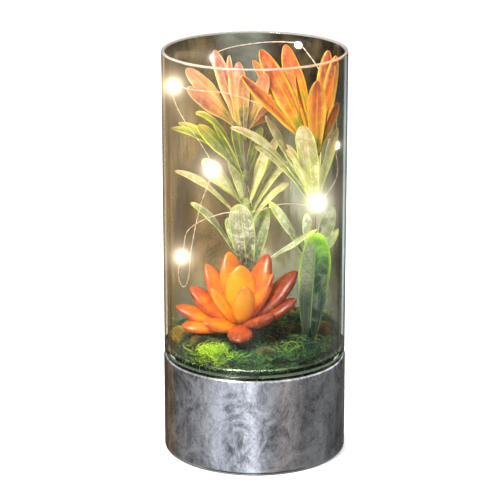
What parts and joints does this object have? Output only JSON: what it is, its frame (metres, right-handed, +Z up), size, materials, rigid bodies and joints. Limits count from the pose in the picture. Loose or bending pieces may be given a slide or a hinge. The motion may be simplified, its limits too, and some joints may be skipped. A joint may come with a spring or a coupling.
{
  "type": "lit terrarium",
  "caption": "Open glass cylinder with moss, a fleshy rosette, leafy sprays and a formed wire of glowing beads, on a mirrored glass base that holds batteries.",
  "frame": {"origin": "centre of the base's foot, on the surface it stands on", "axes": "+Z up along the cylinder, -Y towards the front with the rosette, +X to the right"},
  "size_m": [0.1, 0.1, 0.2236],
  "materials": {
    "smoked_glass": "clear glass with a smoked, half-mirrored lustre",
    "mirrored_glass": "silvered glass with faint swirl marks",
    "black_plastic": "matt",
    "grey_plastic": "matt",
    "slider_plastic": "satin",
    "cell_jacket": "gloss",
    "contact_metal": "bright",
    "copper_wire": "lacquered",
    "glowing_resin": "clear resin, lit",
    "dark_moss": "dry fibrous moss",
    "lime_moss": "dry fibrous moss",
    "yellow_moss": "dry fibrous moss",
    "rust_moss": "dry fibrous moss",
    "stem_plastic": "satin",
    "orange_leaf": "satin, orange to green",
    "green_leaf": "satin",
    "pale_leaf": "frosted",
    "dark_leaf": "satin with a lime edge",
    "petal_plastic": "glossy, yellow heart to red tips"
  },
  "bodies": {
    "terrarium": {"glass_cylinder": "smoked_glass", "mirror_base": "mirrored_glass", "base_plate": "black_plastic", "battery_door": "black_plastic", "battery_box": "grey_plastic", "battery_cell_1": "cell_jacket", "battery_cell_2": "cell_jacket", "battery_cell_3": "cell_jacket", "contact_strip_1": "contact_metal", "contact_strip_2": "contact_metal", "switch_housing": "grey_plastic", "led_wire": "copper_wire", "led_bead_1": "glowing_resin", "led_bead_2": "glowing_resin", "led_bead_3": "glowing_resin", "led_bead_4": "glowing_resin", "led_bead_5": "glowing_resin", "led_bead_6": "glowing_resin", "led_bead_7": "glowing_resin", "moss_bed": "dark_moss", "moss_clump_lime": "lime_moss", "moss_clump_yellow": "yellow_moss", "moss_clump_rust_1": "rust_moss", "moss_clump_rust_2": "rust_moss", "moss_clump_rust_3": "rust_moss", "stem_left": "stem_plastic", "stem_right": "stem_plastic", "whorl_left_1": "orange_leaf", "whorl_left_2": "green_leaf", "whorl_left_3": "pale_leaf", "whorl_left_4": "pale_leaf", "whorl_right_1": "orange_leaf", "whorl_right_2": "pale_leaf", "whorl_right_3": "pale_leaf", "leaf_dark": "dark_leaf", "succulent": "petal_plastic"},
    "switch": {"switch_slider": "slider_plastic"}
  },
  "joints": [
    {"name": "switch_slide", "type": "slide", "parent": "terrarium", "child": "switch", "axis": [1, 0, 0], "range_m": [0, 0.004]}
  ]
}
